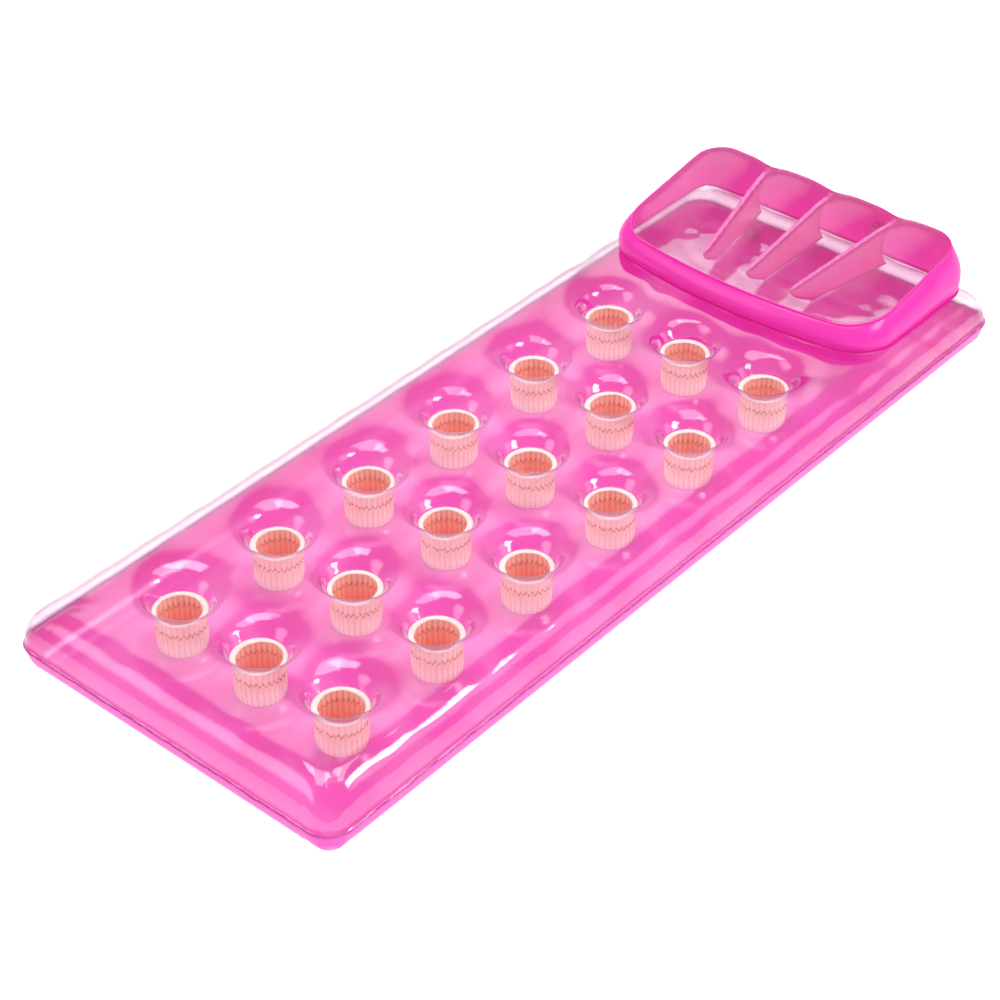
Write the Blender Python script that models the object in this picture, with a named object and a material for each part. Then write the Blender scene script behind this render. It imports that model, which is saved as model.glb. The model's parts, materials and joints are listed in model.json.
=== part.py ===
"""Inflatable pool float: a pocketed lounge mattress with a wedge pillow welded on at the head.

Two vinyl sheets, a clear one on top and a pink one below, are welded together round their edge and
held apart by eighteen pleated pocket tubes, open at the top.  The pillow is an air chamber of its
own: a pink wall, a clear panel above and below, and three upright baffles that hold its slope.  Each
chamber has a valve at the head end: a seat welded to the vinyl, a stem that slides in the seat, a
non-return flap inside the stem and a plug.

Frame: metres, +X to the right, +Y towards the head, +Z up.  The origin is on the ground, under the
middle of the float.
"""
import math

import bmesh
import bpy
from mathutils import Matrix, Vector
from mathutils.geometry import delaunay_2d_cdt

# Mattress, measured over its weld flange
LENGTH = 1.840
WIDTH = 0.704
CORNER_R = 0.045
SMALLEST_CORNER_R = 0.004
FLANGE = 0.003
EDGE_R = 0.060
SEAM_Z = 0.062

# Vinyl
SHEET = 0.0005
GAP = 0.0003

# Pockets: three columns of six, set towards the foot
COLUMN_PITCH = 0.178
ROW_PITCH = 0.2232
FIRST_ROW_Y = -0.7105
COLUMNS = ("left", "middle", "right")
ROWS = 6
RIM_R = 0.046
MOUTH_R = 0.034
TUBE_R = 0.0425
TUBE_FOOT_R = 0.0385
RIM_Z = 0.092
RIM_T = 0.0012
TUBE_FLOOR_Z = 0.022
TUBE_WALL = 0.0008
TUBE_DRAW_IN = 0.0005
FOOT_ROUND_Z = 0.014
FACETS = 12

# Height of the top sheet above the rims, between the pockets and at the head
CROWN = 0.022
HEAD_CROWN = 0.036
HEAD_FROM_Y = 0.42
HEAD_FULL_Y = 0.55
TOP_REACH = 0.055
FLOOR_REACH = 0.040

# How the two sheets are divided: extra lines beyond the edge's turn and beyond each pocket
EDGE_TURNS = tuple(math.radians(degrees) for degrees in (0, 32, 62, 90))
EDGE_CLEARANCE = 0.012
CORNER_STEPS = 4
LONGEST_RUN = 0.12
HOLE_SHARE = 0.97
COLLAR_STEP = 0.017
LOOSE_STEP = 0.032

# Pillow
PILLOW_FRONT_Y = 0.5560
PILLOW_BACK_Y = 0.8880
PILLOW_HALF_X = 0.304
PILLOW_BOW = 0.036
PILLOW_FRONT_R = 0.070
PILLOW_BACK_R = 0.055
TOP_SET_IN = 0.016
WALL_BULGE = 0.011
FRONT_TOP_Z = 0.178
BACK_TOP_Z = 0.234
PILLOW_LIFT = 0.0030
PANEL_CROWN = 0.014
PANEL_REACH = 0.060
PANEL_BORDER = 0.022
BASE_BORDER = 0.020
BASE_SPACING = (0.073, 0.070)
BASE_MARGIN = 0.035
BOW_FADE = 0.12
WALL_LEVELS = 5
BAFFLE_FRONT_X = 0.100
BAFFLE_BACK_X = 0.147
BAFFLE_FRONT_Y = 0.590
BAFFLE_BACK_Y = 0.852
BAFFLE_T = 0.0008
BAFFLE_FOOT_SETBACK = 0.060
BAFFLE_TIP = 0.002
BAFFLE_HOLLOW = 0.020
BAFFLE_NOSE = 0.008

# Valves: radii of the sleeve and stem, and their heights above the vinyl that they are welded to
SEAT_R = 0.0160
SEAT_T = 0.0015
SLEEVE_R = 0.0105
SLEEVE_BORE_R = 0.0095
SLEEVE_DEPTH = 0.012
STEM_R = 0.0086
STEM_BORE_R = 0.0046
STEM_LIP_R = 0.0122
STEM_LIP_T = 0.0012
STEM_TRAVEL = 0.012
STEM_COLLAR_R = 0.0104
STEM_COLLAR_T = 0.0015
FLAP_R = 0.0062
FLAP_T = 0.0008
PLUG_R = 0.0080
PLUG_T = 0.0016
PLUG_SHANK_R = 0.0040
PLUG_DEPTH = 0.0060
PLUG_TAB_R = 0.0155
VALVE_FACETS = 16
HOLE_DEPTH = 0.020
HOLE_FACETS = 24
MATTRESS_VALVE_X = -0.200
MATTRESS_VALVE_TILT = math.radians(26)
PILLOW_VALVE_X = 0.095
PILLOW_VALVE_Z = 0.172

POCKETS = {
    f"pocket_{row + 1}_{column}": ((index - 1) * COLUMN_PITCH, FIRST_ROW_Y + row * ROW_PITCH)
    for row in range(ROWS)
    for index, column in enumerate(COLUMNS)
}


def clear_scene():
    for old in list(bpy.data.objects):
        bpy.data.objects.remove(old, do_unlink=True)


def vinyl(name, colour, roughness, alpha=1.0):
    """A Principled material for one colour of vinyl."""
    material = bpy.data.materials.new(name)
    material.use_nodes = True
    shader = material.node_tree.nodes["Principled BSDF"]
    shader.inputs["Base Color"].default_value = (*colour, 1.0)
    shader.inputs["Roughness"].default_value = roughness
    shader.inputs["Metallic"].default_value = 0.0
    shader.inputs["Alpha"].default_value = alpha
    return material


def add_object(name, mesh, material):
    """Put a finished mesh in the scene under its part name."""
    mesh.materials.append(material)
    piece = bpy.data.objects.new(name, mesh)
    bpy.context.collection.objects.link(piece)
    return piece


def mesh_from(name, points, faces, close=False):
    """A mesh from points and faces; a closed one has its faces turned outwards."""
    mesh = bpy.data.meshes.new(name)
    mesh.from_pydata(points, [], faces)
    if close:
        body = bmesh.new()
        body.from_mesh(mesh)
        bmesh.ops.recalc_face_normals(body, faces=body.faces)
        body.to_mesh(mesh)
        body.free()
    return mesh


def thicken(piece, thickness):
    """Give a single-surface sheet its thickness, on the side its faces point to."""
    solid = piece.modifiers.new("thickness", "SOLIDIFY")
    solid.thickness = thickness
    solid.offset = 1.0
    solid.use_even_offset = True


# ---------------------------------------------------------------- mattress shape


def edge_distance(x, y):
    """Distance in plan from the float's outline, inwards."""
    across = abs(x) - (WIDTH / 2 - CORNER_R)
    along = abs(y) - (LENGTH / 2 - CORNER_R)
    past = math.hypot(max(across, 0.0), max(along, 0.0))
    return CORNER_R - past - min(max(across, along), 0.0)


def edge_rise(x, y):
    """0 on the weld flange and 1 once the sheet has turned over into the flat of the float."""
    run = min(max((edge_distance(x, y) - FLANGE) / EDGE_R, 0.0), 1.0)
    return math.sqrt(1.0 - (1.0 - run) ** 2)


def away_from_pockets(x, y, radius, reach):
    """0 inside every pocket's radius and 1 once `reach` beyond it."""
    share = 1.0
    for pocket_x, pocket_y in POCKETS.values():
        run = (math.hypot(x - pocket_x, y - pocket_y) - radius) / reach
        run = min(max(run, 0.0), 1.0)
        share *= 1.0 - (1.0 - run) ** 2
    return share


def smooth_step(value, low, high):
    run = min(max((value - low) / (high - low), 0.0), 1.0)
    return run * run * (3.0 - 2.0 * run)


def top_z(x, y):
    """Inner face of the clear top sheet."""
    crown = CROWN + (HEAD_CROWN - CROWN) * smooth_step(y, HEAD_FROM_Y, HEAD_FULL_Y)
    flat = RIM_Z - RIM_T / 2 + crown * away_from_pockets(x, y, RIM_R, TOP_REACH)
    seam = SEAM_Z + GAP / 2
    return seam + (flat - seam) * edge_rise(x, y)


def bottom_z(x, y):
    """Inner face of the pink bottom sheet, which lies on the ground between the pockets."""
    lifted = TUBE_FLOOR_Z * (1.0 - away_from_pockets(x, y, TUBE_R, FLOOR_REACH))
    seam = SEAM_Z - GAP / 2
    flat = SHEET + lifted
    return seam + (flat - seam) * edge_rise(x, y)


def rounded_outline(inset):
    """The float's outline in plan, moved inwards, with points no further apart than LONGEST_RUN."""
    half_x, half_y = WIDTH / 2 - inset, LENGTH / 2 - inset
    radius = max(CORNER_R - inset, SMALLEST_CORNER_R)
    corners = []
    for turn, (side_x, side_y) in enumerate(((1, -1), (1, 1), (-1, 1), (-1, -1))):
        for step in range(CORNER_STEPS + 1):
            angle = math.radians(90 * (turn - 1 + step / CORNER_STEPS))
            corners.append((
                side_x * (half_x - radius) + radius * math.cos(angle),
                side_y * (half_y - radius) + radius * math.sin(angle),
            ))
    return split_runs(corners, LONGEST_RUN)


def split_runs(outline, longest_run):
    """Add points along the sides of a closed outline that are longer than longest_run."""
    points = []
    for here, there in zip(outline, outline[1:] + outline[:1]):
        pieces = max(1, math.ceil(math.dist(here, there) / longest_run))
        for piece in range(pieces):
            share = piece / pieces
            points.append(tuple(a + (b - a) * share for a, b in zip(here, there)))
    return points


def ring(centre, radius, count, turned=0.0):
    """Points round a circle in plan."""
    return [
        (
            centre[0] + radius * math.cos(2 * math.pi * (step + turned) / count),
            centre[1] + radius * math.sin(2 * math.pi * (step + turned) / count),
        )
        for step in range(count)
    ]


def fill_plan(loops, loose_points, holes=()):
    """Triangles in plan over closed loops and single points, leaving the holes open.

    holes are (centre, radius) of round openings whose rims are among the loops.  A face is in a
    hole if its middle is, and the middles of the faces round it all lie outside HOLE_SHARE of it.
    """
    points, edges = [], []
    for loop in loops:
        start = len(points)
        points += loop
        edges += [(start + i, start + (i + 1) % len(loop)) for i in range(len(loop))]
    points += loose_points
    done = delaunay_2d_cdt([Vector(point) for point in points], edges, [], 0, 1e-6)
    plan = [tuple(point) for point in done[0]]
    faces = []
    for face in done[2]:
        middle = [sum(plan[i][axis] for i in face) / len(face) for axis in (0, 1)]
        if not any(math.dist(middle, centre) < radius * HOLE_SHARE for centre, radius in holes):
            faces.append(tuple(face))
    return plan, faces


def mattress_points(clear_of):
    """Single points between the pockets and over the head of the mattress."""
    inner = FLANGE + EDGE_R + EDGE_CLEARANCE
    points = []
    rows = int(LENGTH / (ROW_PITCH / 2)) + 2
    for row in range(-1, rows):
        y = FIRST_ROW_Y + (row - 1) * ROW_PITCH / 2
        for column in range(-4, 5):
            x = column * COLUMN_PITCH / 2
            near = min(math.dist((x, y), centre) for centre in POCKETS.values())
            if near > clear_of and edge_distance(x, y) > inner:
                points.append((x, y))
    return points


def edge_loops():
    """The outline, then lines parallel to it up to where the sheet lies flat."""
    turns = [FLANGE + EDGE_R * (1 - math.cos(turn)) for turn in EDGE_TURNS]
    return [rounded_outline(inset) for inset in [0.0, *turns]]


def build_top_sheet(material):
    """The clear sheet, with a hole at each pocket's rim."""
    hole_r = RIM_R + 2 * GAP
    loops = edge_loops()
    for centre in POCKETS.values():
        loops.append(ring(centre, hole_r, FACETS))
        loops.append(ring(centre, hole_r + COLLAR_STEP, FACETS, 0.5))
    holes = [(centre, hole_r) for centre in POCKETS.values()]
    plan, faces = fill_plan(loops, mattress_points(hole_r + LOOSE_STEP), holes)
    mesh = mesh_from("top_sheet", [(x, y, top_z(x, y)) for x, y in plan], faces)
    sheet = add_object("top_sheet", mesh, material)
    thicken(sheet, SHEET)
    return sheet


def build_bottom_sheet(material):
    """The pink sheet, drawn up under each pocket tube."""
    loops = edge_loops()
    centres = list(POCKETS.values())
    for centre in centres:
        loops.append(ring(centre, TUBE_R, FACETS))
        loops.append(ring(centre, TUBE_R + COLLAR_STEP, FACETS, 0.5))
    plan, faces = fill_plan(loops, mattress_points(TUBE_R + LOOSE_STEP) + centres)
    points = [(x, y, bottom_z(x, y)) for x, y in plan]
    mesh = mesh_from("bottom_sheet", points, [face[::-1] for face in faces])
    sheet = add_object("bottom_sheet", mesh, material)
    thicken(sheet, SHEET)
    return sheet


# ---------------------------------------------------------------- turned pieces


def turned_mesh(name, profile, facets, closed=True):
    """Turn a profile of (radius, height) about +Z.

    A closed profile makes a ring.  An open one starts and ends on the axis and makes a solid.
    """
    points, faces = [], []
    inner = profile if closed else profile[1:-1]
    for radius, height in inner:
        points += [(x, y, height) for x, y in ring((0.0, 0.0), radius, facets)]
    count = len(inner)
    for band in range(count if closed else count - 1):
        low, high = band * facets, (band + 1) % count * facets
        for step in range(facets):
            beside = (step + 1) % facets
            faces.append((low + step, low + beside, high + beside, high + step))
    if not closed:
        for end, (radius, height) in ((0, profile[0]), (count - 1, profile[-1])):
            points.append((0.0, 0.0, height))
            for step in range(facets):
                faces.append((end * facets + step, end * facets + (step + 1) % facets, len(points) - 1))
    return mesh_from(name, points, faces, close=True)


def build_pockets(material):
    """Eighteen alike: a flat rim ring, a tube below it and a foot welded to the bottom sheet."""
    foot_z = SHEET + TUBE_FLOOR_Z + GAP
    belly_z = foot_z + FOOT_ROUND_Z
    belly_r = TUBE_R - TUBE_DRAW_IN
    under_rim = RIM_Z - RIM_T
    profile = [
        (MOUTH_R, RIM_Z),
        (RIM_R, RIM_Z),
        (RIM_R, under_rim),
        (TUBE_R, under_rim),
        (belly_r, belly_z),
        (TUBE_FOOT_R, foot_z),
        (TUBE_FOOT_R - TUBE_WALL, foot_z),
        (belly_r - TUBE_WALL, belly_z),
        (TUBE_R - TUBE_WALL, under_rim),
        (MOUTH_R, under_rim),
    ]
    shape = turned_mesh("pocket", profile, FACETS)
    shape.materials.append(material)
    for name, (x, y) in POCKETS.items():
        pocket = bpy.data.objects.new(name, shape)
        pocket.location = (x, y, 0.0)
        bpy.context.collection.objects.link(pocket)


# ---------------------------------------------------------------- pillow


def pillow_outline(set_in):
    """The pillow's outline in plan: straight sides and back, and a front bowed towards the foot."""
    half_x = PILLOW_HALF_X - set_in
    front, back = PILLOW_FRONT_Y + set_in, PILLOW_BACK_Y - set_in
    points = []
    corners = (
        (1, front, PILLOW_FRONT_R, -90),
        (1, back, PILLOW_BACK_R, 0),
        (-1, back, PILLOW_BACK_R, 90),
        (-1, front, PILLOW_FRONT_R, 180),
    )
    for side, edge_y, radius, start in corners:
        centre_y = edge_y + radius if edge_y == front else edge_y - radius
        for step in range(4):
            angle = math.radians(start + 90 * step / 3)
            x = side * (half_x - radius) + radius * math.cos(angle)
            points.append((x, centre_y + radius * math.sin(angle)))
    # the same share of points on every outline, whatever it is set in by
    outline = []
    for index, here in enumerate(points):
        there = points[(index + 1) % len(points)]
        pieces = {3: 3, 7: 5, 11: 3, 15: 5}.get(index, 1)
        for piece in range(pieces):
            share = piece / pieces
            outline.append(tuple(a + (b - a) * share for a, b in zip(here, there)))
    return [(x, y - bow_at(x, y, front)) for x, y in outline]


def bow_at(x, y, front):
    """How far the pillow's front reaches towards the foot, none at its sides and back."""
    across = 1.0 - (x / PILLOW_HALF_X) ** 2
    return PILLOW_BOW * max(across, 0.0) * (1.0 - smooth_step(y, front, front + BOW_FADE))


def pillow_top_z(y):
    """Weld line between the pillow's wall and its clear top: low in front, high at the head."""
    run = (y - PILLOW_FRONT_Y) / (PILLOW_BACK_Y - PILLOW_FRONT_Y)
    return FRONT_TOP_Z + (BACK_TOP_Z - FRONT_TOP_Z) * min(max(run, 0.0), 1.0)


def pillow_base_z(x, y):
    """The pillow's base lies along the mattress's top sheet."""
    return top_z(x, y) + PILLOW_LIFT


def build_pillow_wall(material):
    """The pink band round the pillow, bulged by the air in it."""
    low, high = pillow_outline(0.0), pillow_outline(TOP_SET_IN)
    points = []
    for level in range(WALL_LEVELS):
        share = level / (WALL_LEVELS - 1)
        swell = WALL_BULGE * math.sin(math.pi * share)
        for (x0, y0), (x1, y1) in zip(low, high):
            x, y = x0 + (x1 - x0) * share, y0 + (y1 - y0) * share
            z0, z1 = pillow_base_z(x0, y0) + SHEET + GAP, pillow_top_z(y1)
            out = Vector((x0 - x1, y0 - y1)).normalized() if share else Vector((0.0, 0.0))
            points.append((x + out.x * swell, y + out.y * swell, z0 + (z1 - z0) * share))
    count = len(low)
    faces = []
    for level in range(WALL_LEVELS - 1):
        for step in range(count):
            beside = (step + 1) % count
            base = level * count
            faces.append((base + step, base + beside, base + count + beside, base + count + step))
    mesh = mesh_from("pillow_wall", points, faces)
    wall = add_object("pillow_wall", mesh, material)
    thicken(wall, SHEET)
    return wall


def inside_pillow(outline):
    """Grid points inside an outline and about BASE_MARGIN away from it."""
    points = []
    lowest, highest = min(y for _, y in outline), max(y for _, y in outline)
    edge = split_runs(outline, BASE_MARGIN / 2)
    columns = int(PILLOW_HALF_X / BASE_SPACING[0])
    for row in range(int((highest - lowest) / BASE_SPACING[1]) + 1):
        y = lowest + BASE_MARGIN + row * BASE_SPACING[1]
        for column in range(-columns, columns + 1):
            x = column * BASE_SPACING[0]
            near = min(math.dist((x, y), point) for point in edge)
            within = abs(x) < PILLOW_HALF_X - BASE_MARGIN and y < highest - BASE_MARGIN
            if within and near > BASE_MARGIN * 0.9:
                points.append((x, y))
    return points


def build_pillow_base(material):
    """The clear panel between the pillow's air and the mattress."""
    outline = pillow_outline(0.0)
    inner = pillow_outline(BASE_BORDER)
    plan, faces = fill_plan([outline, inner], inside_pillow(inner))
    points = [(x, y, pillow_base_z(x, y)) for x, y in plan]
    panel = add_object("pillow_base", mesh_from("pillow_base", points, faces), material)
    thicken(panel, SHEET)
    return panel


def baffle_x(index, y):
    """The baffles fan out from the front of the pillow to the head."""
    run = (y - BAFFLE_FRONT_Y) / (BAFFLE_BACK_Y - BAFFLE_FRONT_Y)
    return (index - 1) * (BAFFLE_FRONT_X + (BAFFLE_BACK_X - BAFFLE_FRONT_X) * run)


def panel_z(x, y, edge):
    """The clear top panel, crowned between its edge and the baffles."""
    to_baffle = min(abs(x - baffle_x(index, y)) for index in range(3))
    crown = 1.0
    for distance in (to_baffle, edge):
        crown *= 1.0 - (1.0 - min(distance / PANEL_REACH, 1.0)) ** 2
    return pillow_top_z(y) + PANEL_CROWN * crown


def build_pillow_top(material):
    """The clear sloping panel that the head rests on."""
    outline = pillow_outline(TOP_SET_IN)
    fine = split_runs(outline, 0.01)
    inner = pillow_outline(TOP_SET_IN + PANEL_BORDER)
    welds = []
    for index in range(3):
        for step in range(6):
            y = BAFFLE_FRONT_Y + (BAFFLE_BACK_Y - BAFFLE_FRONT_Y) * step / 5
            welds.append((baffle_x(index, y), y))
    between = []
    for lane in (-2, -1, 1, 2):
        for step in range(6):
            y = BAFFLE_FRONT_Y + (BAFFLE_BACK_Y - BAFFLE_FRONT_Y) * step / 5
            between.append((lane * baffle_x(2, y) * (0.5 if abs(lane) == 1 else 0.75), y))
    plan, faces = fill_plan([outline, inner], welds + between)
    points = []
    for x, y in plan:
        edge = min(math.dist((x, y), point) for point in fine)
        points.append((x, y, panel_z(x, y, edge) + SHEET + GAP))
    panel = add_object("pillow_top", mesh_from("pillow_top", points, faces), material)
    thicken(panel, SHEET)
    return panel


def build_baffles(material):
    """Three upright webs, welded along the top panel and the base, with hollowed back edges."""
    foot_length = BAFFLE_BACK_Y - BAFFLE_FRONT_Y - BAFFLE_FOOT_SETBACK
    for index, side in enumerate(COLUMNS):
        top, foot = [], []
        for step in range(7):
            y = BAFFLE_FRONT_Y + (BAFFLE_BACK_Y - BAFFLE_FRONT_Y) * step / 6
            top.append((y, pillow_top_z(y) - GAP))
        for step in range(6):
            y = BAFFLE_BACK_Y - BAFFLE_TIP - (foot_length - BAFFLE_TIP) * step / 5
            foot.append((y, pillow_base_z(baffle_x(index, y), y) + SHEET + 2 * GAP))
        back_top, back_foot = top[-1], foot[0]
        back = []
        for share in (0.25, 0.5, 0.75):
            hollow = BAFFLE_HOLLOW * math.sin(math.pi * share)
            back.append((
                back_top[0] + (back_foot[0] - back_top[0]) * share - hollow,
                back_top[1] + (back_foot[1] - back_top[1]) * share,
            ))
        front_foot, front_top = foot[-1], top[0]
        front = []
        for share in (0.33, 0.67):
            sag = BAFFLE_NOSE * math.sin(math.pi * share)
            front.append((
                front_foot[0] + (front_top[0] - front_foot[0]) * share - sag,
                front_foot[1] + (front_top[1] - front_foot[1]) * share - sag,
            ))
        outline = top + back + foot + front
        half = BAFFLE_T / 2
        points = [(baffle_x(index, y) + side_x * half, y, z) for side_x in (-1, 1) for y, z in outline]
        count = len(outline)
        faces = [tuple(range(count)), tuple(range(2 * count - 1, count - 1, -1))]
        for step in range(count):
            beside = (step + 1) % count
            faces.append((step, beside, count + beside, count + step))
        mesh = mesh_from(f"baffle_{side}", points, faces, close=True)
        add_object(f"baffle_{side}", mesh, material)


# ---------------------------------------------------------------- valves


def valve_frame(origin, direction):
    """Matrix that lays a piece turned about +Z along a valve's axis, with its +X side uppermost."""
    out = Vector(direction).normalized()
    side = Vector((1.0, 0.0, 0.0))
    up = side.cross(out)
    frame = Matrix((up, side, out)).transposed().to_4x4()
    frame.translation = Vector(origin)
    return frame


def build_valve(chamber, frame, wall, materials):
    """Seat, stem, flap and plug of one chamber's valve, and the hole for them in its wall."""
    seat_low = 2 * GAP
    seat_top = seat_low + SEAT_T
    seat = [
        (SEAT_R, seat_low),
        (SEAT_R, seat_low + SEAT_T * 0.6),
        (SLEEVE_BORE_R, seat_top),
        (SLEEVE_BORE_R, -SLEEVE_DEPTH),
        (SLEEVE_R, -SLEEVE_DEPTH),
        (SLEEVE_R, seat_low),
    ]
    lip_low = seat_top + GAP
    lip_top = lip_low + STEM_LIP_T
    collar_top = -SLEEVE_DEPTH - STEM_TRAVEL - GAP
    stem_foot = collar_top - STEM_COLLAR_T
    stem = [
        (STEM_BORE_R, lip_top),
        (STEM_LIP_R, lip_top),
        (STEM_LIP_R, lip_low),
        (STEM_R, lip_low),
        (STEM_R, collar_top),
        (STEM_COLLAR_R, collar_top),
        (STEM_COLLAR_R, stem_foot),
        (STEM_BORE_R, stem_foot),
    ]
    cap_low = lip_top + GAP
    plug = [
        (0.0, cap_low + PLUG_T),
        (PLUG_R, cap_low + PLUG_T),
        (PLUG_R, cap_low),
        (PLUG_SHANK_R, cap_low),
        (PLUG_SHANK_R * 0.9, cap_low - PLUG_DEPTH),
        (0.0, cap_low - PLUG_DEPTH),
    ]
    flap_top = stem_foot - GAP
    flap = [
        (0.0, 0.0),
        (FLAP_R, 0.0),
        (FLAP_R, -FLAP_T),
        (0.0, -FLAP_T),
    ]
    pieces = (
        ("seat", turned_mesh(f"{chamber}_valve_seat", seat, VALVE_FACETS), 0.0, 0.0),
        ("stem", turned_mesh(f"{chamber}_valve_stem", stem, VALVE_FACETS), 0.0, 0.0),
        ("plug", turned_mesh(f"{chamber}_valve_plug", plug, VALVE_FACETS, closed=False), 0.0, 0.0),
        ("flap", turned_mesh(f"{chamber}_valve_flap", flap, VALVE_FACETS, closed=False), FLAP_R, flap_top),
    )
    for part, mesh, hinge_side, height in pieces:
        if part == "plug":
            draw_out_tab(mesh, cap_low)
        if part == "flap":
            mesh.transform(Matrix.Translation((-FLAP_R, 0.0, 0.0)))
        piece = add_object(f"{chamber}_valve_{part}", mesh, materials[part])
        piece.matrix_world = frame @ Matrix.Translation((hinge_side, 0.0, height))
    cutter_r = SLEEVE_R + 3 * GAP
    cutter_profile = [(0, HOLE_DEPTH), (cutter_r, HOLE_DEPTH), (cutter_r, -HOLE_DEPTH), (0, -HOLE_DEPTH)]
    cutter_mesh = turned_mesh("cutter", cutter_profile, HOLE_FACETS, closed=False)
    cutter = add_object(f"{chamber}_valve_hole", cutter_mesh, materials["seat"])
    cutter.matrix_world = frame
    cutter.hide_render = True
    cutter.display_type = "WIRE"
    hole = wall.modifiers.new("valve hole", "BOOLEAN")
    hole.operation = "DIFFERENCE"
    hole.object = cutter
    hole.solver = "EXACT"


def draw_out_tab(mesh, cap_low):
    """Pull the lower side of the plug's cap out into the tab that a finger lifts it by."""
    for point in mesh.vertices:
        across = math.hypot(point.co.x, point.co.y)
        if across > PLUG_R * 0.99 and point.co.x < -PLUG_R * 0.9 and point.co.z > cap_low - 1e-6:
            point.co.x = -PLUG_TAB_R


def mattress_valve_frame():
    """On the head end of the bottom sheet, below the seam, square to the turned-under vinyl."""
    turn = MATTRESS_VALVE_TILT
    seam_y = LENGTH / 2 - FLANGE
    y = seam_y - EDGE_R * (1.0 - math.cos(turn))
    z = SEAM_Z - GAP / 2 - (SEAM_Z - SHEET) * math.sin(turn)
    slope = (EDGE_R * math.cos(turn), -(SEAM_Z - SHEET) * math.sin(turn))
    out = Vector((0.0, slope[0], slope[1])).normalized()
    return valve_frame(Vector((MATTRESS_VALVE_X, y, z)) + out * SHEET, out)


def pillow_valve_frame():
    """On the pillow's back wall, beside a baffle."""
    high, low = pillow_top_z(PILLOW_BACK_Y - TOP_SET_IN), pillow_base_z(0.0, PILLOW_BACK_Y)
    share = (PILLOW_VALVE_Z - low) / (high - low)
    y = PILLOW_BACK_Y - TOP_SET_IN * share + WALL_BULGE * math.sin(math.pi * share) + SHEET
    return valve_frame((PILLOW_VALVE_X, y, PILLOW_VALVE_Z), (0.0, 1.0, 0.0))


def main():
    clear_scene()
    clear = vinyl("clear_vinyl", (0.93, 0.90, 0.93), 0.12, 0.30)
    pink = vinyl("pink_vinyl", (0.90, 0.10, 0.42), 0.18)
    pocket = vinyl("pocket_vinyl", (0.95, 0.55, 0.50), 0.35)
    valve = vinyl("valve_vinyl", (0.90, 0.88, 0.86), 0.30)
    flap = vinyl("flap_rubber", (0.80, 0.78, 0.76), 0.45)
    build_top_sheet(clear)
    bottom_sheet = build_bottom_sheet(pink)
    build_pockets(pocket)
    pillow_wall = build_pillow_wall(pink)
    build_pillow_base(clear)
    build_pillow_top(clear)
    build_baffles(pink)
    materials = {"seat": valve, "stem": valve, "plug": valve, "flap": flap}
    build_valve("mattress", mattress_valve_frame(), bottom_sheet, materials)
    build_valve("pillow", pillow_valve_frame(), pillow_wall, materials)


main()
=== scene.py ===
import json
import math
import random

import bmesh
import bpy
import numpy as np
from mathutils import Matrix, Vector
from mathutils.geometry import delaunay_2d_cdt


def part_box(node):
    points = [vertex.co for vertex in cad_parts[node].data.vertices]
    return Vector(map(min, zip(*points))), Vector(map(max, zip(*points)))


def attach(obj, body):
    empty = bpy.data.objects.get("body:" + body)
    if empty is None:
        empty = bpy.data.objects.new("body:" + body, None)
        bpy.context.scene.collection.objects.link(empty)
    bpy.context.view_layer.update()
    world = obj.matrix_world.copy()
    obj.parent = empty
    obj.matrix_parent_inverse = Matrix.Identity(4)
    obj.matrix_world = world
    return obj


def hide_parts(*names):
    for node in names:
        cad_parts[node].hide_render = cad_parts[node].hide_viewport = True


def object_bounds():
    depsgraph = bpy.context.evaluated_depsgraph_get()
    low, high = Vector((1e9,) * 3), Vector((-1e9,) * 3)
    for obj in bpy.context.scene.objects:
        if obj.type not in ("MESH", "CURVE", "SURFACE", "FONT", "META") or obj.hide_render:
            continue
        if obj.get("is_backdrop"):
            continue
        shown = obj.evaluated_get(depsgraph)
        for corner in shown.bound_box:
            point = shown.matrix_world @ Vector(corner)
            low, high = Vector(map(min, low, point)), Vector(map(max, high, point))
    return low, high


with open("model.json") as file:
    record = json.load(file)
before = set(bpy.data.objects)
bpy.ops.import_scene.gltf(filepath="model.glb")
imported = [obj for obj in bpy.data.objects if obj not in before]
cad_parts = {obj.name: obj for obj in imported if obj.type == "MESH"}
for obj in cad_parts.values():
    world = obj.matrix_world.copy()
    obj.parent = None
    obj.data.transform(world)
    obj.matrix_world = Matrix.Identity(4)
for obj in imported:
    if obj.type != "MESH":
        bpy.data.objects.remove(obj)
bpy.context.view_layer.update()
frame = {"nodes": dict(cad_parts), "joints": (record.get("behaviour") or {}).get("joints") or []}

# ---- Studio -------------------------------------------------------------------------------------
# A white floor, an even sky with three brighter patches, a large soft panel overhead and two smaller
# lamps, one to each side. The glossy film mirrors them as soft windows and is clear in between.
VIEW_TARGET = Vector((0.0273, -0.155, 0.092))
VIEW_BACK = Vector((0.5129, -0.6032, 0.6108)).normalized()
VIEW_DISTANCE = 4.1965
LENS = 88.5

camera = bpy.data.objects.new("camera", bpy.data.cameras.new("camera"))
bpy.context.collection.objects.link(camera)
camera.location = VIEW_TARGET + VIEW_BACK * VIEW_DISTANCE
camera.rotation_mode = "QUATERNION"
camera.rotation_quaternion = (-VIEW_BACK).to_track_quat("-Z", "Y")
camera.data.lens = LENS
camera.data.sensor_width = 36.0
bpy.context.scene.camera = camera
bpy.context.scene.view_settings.view_transform = "Standard"
bpy.context.scene.cycles.transparent_max_bounces = 40

SKY = 0.68
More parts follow.
